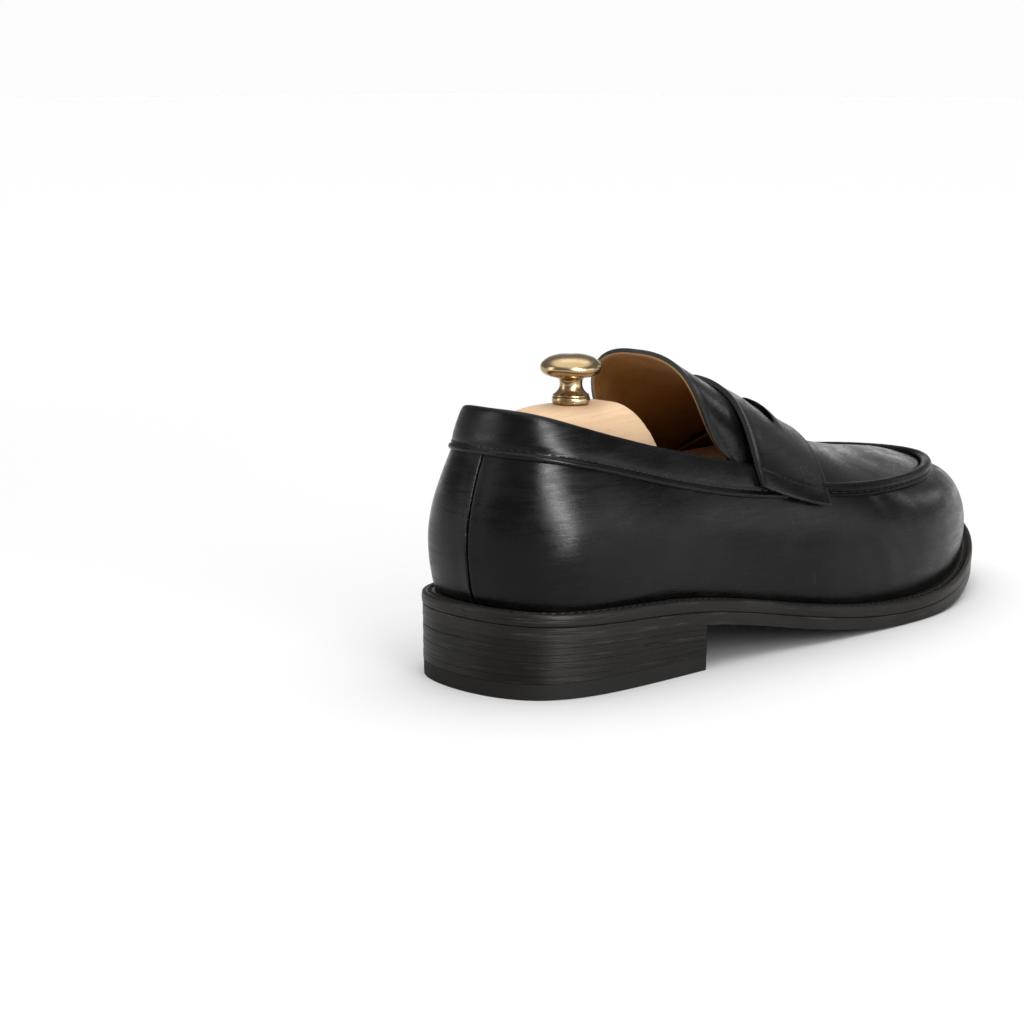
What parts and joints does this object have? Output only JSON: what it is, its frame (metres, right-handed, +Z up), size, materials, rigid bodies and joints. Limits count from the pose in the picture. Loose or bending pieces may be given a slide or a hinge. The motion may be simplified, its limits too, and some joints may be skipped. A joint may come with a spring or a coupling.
{
  "type": "penny loafer",
  "caption": "Black leather penny loafer for the right foot with saddle strap, stacked leather heel and a folding beech shoe tree with a brass knob standing in it.",
  "frame": {"origin": "on the ground under the middle of the shoe's bounding box", "axes": "+X along the shoe towards the toe, +Y towards the inner side of the right foot, +Z up"},
  "size_m": [0.2846, 0.1035, 0.1091],
  "materials": {
    "black_leather": "polished smooth calf",
    "edge_leather": "burnished dark brown edge",
    "lining_leather": "tan unfinished lining leather",
    "leatherboard": "pressed leather fibre board",
    "cork": "granulated cork",
    "rubber": "matt black",
    "beech": "sanded pale beech, waxed",
    "brass": "polished",
    "steel": "bright zinc plated"
  },
  "bodies": {
    "shoe": {"heel_top_piece": "rubber", "heel_lift_1": "edge_leather", "heel_lift_2": "edge_leather", "heel_lift_3": "edge_leather", "heel_lift_4": "edge_leather", "heel_lift_5": "edge_leather", "heel_lift_6": "edge_leather", "heel_nail_1": "steel", "heel_nail_2": "steel", "heel_nail_3": "steel", "heel_nail_4": "steel", "heel_nail_5": "steel", "outsole": "edge_leather", "welt": "edge_leather", "heel_seat_board": "leatherboard", "cork_filler": "cork", "shank": "steel", "insole": "leatherboard", "sock_lining": "lining_leather", "skirt": "black_leather", "heel_counter": "leatherboard", "toe_puff": "leatherboard", "quarter_lining": "lining_leather", "vamp_lining": "lining_leather", "collar_band": "black_leather", "apron": "black_leather", "apron_lining": "lining_leather", "apron_seam_roll": "black_leather", "tongue": "black_leather", "tongue_lining": "lining_leather", "saddle_strap": "black_leather", "tree_toe_inner": "beech", "tree_guide_pin_1": "steel", "tree_guide_pin_2": "steel", "tree_toe_spring_1": "steel", "tree_toe_spring_2": "steel", "tree_core": "beech", "tree_dowel_1": "beech", "tree_dowel_2": "beech", "tree_bar_spring": "steel"},
    "toe_half": {"tree_toe_outer": "beech"},
    "slide_bar": {"tree_bar": "beech", "hinge_arm_bar": "brass", "hinge_pin": "brass", "hinge_screw_1": "brass", "hinge_screw_2": "brass"},
    "heel_block": {"tree_heel_block": "beech", "tree_knob": "brass", "knob_stud": "steel", "hinge_arm_block_outer": "brass", "hinge_arm_block_inner": "brass", "hinge_screw_3": "brass", "hinge_screw_4": "brass"}
  },
  "joints": [
    {"name": "toe_spread", "type": "slide", "parent": "shoe", "child": "toe_half", "axis": [0, 1, 0], "range_m": [0, 0.004], "stiffness_N_per_m": 1500},
    {"name": "bar_slide", "type": "slide", "parent": "shoe", "child": "slide_bar", "axis": [1, 0, 0], "range_m": [0, 0.008], "stiffness_N_per_m": 900},
    {"name": "block_hinge", "type": "hinge", "parent": "slide_bar", "child": "heel_block", "pos_m": [-0.05375, 0, 0.066], "axis": [0, 1, 0], "range_deg": [0, 25]}
  ]
}
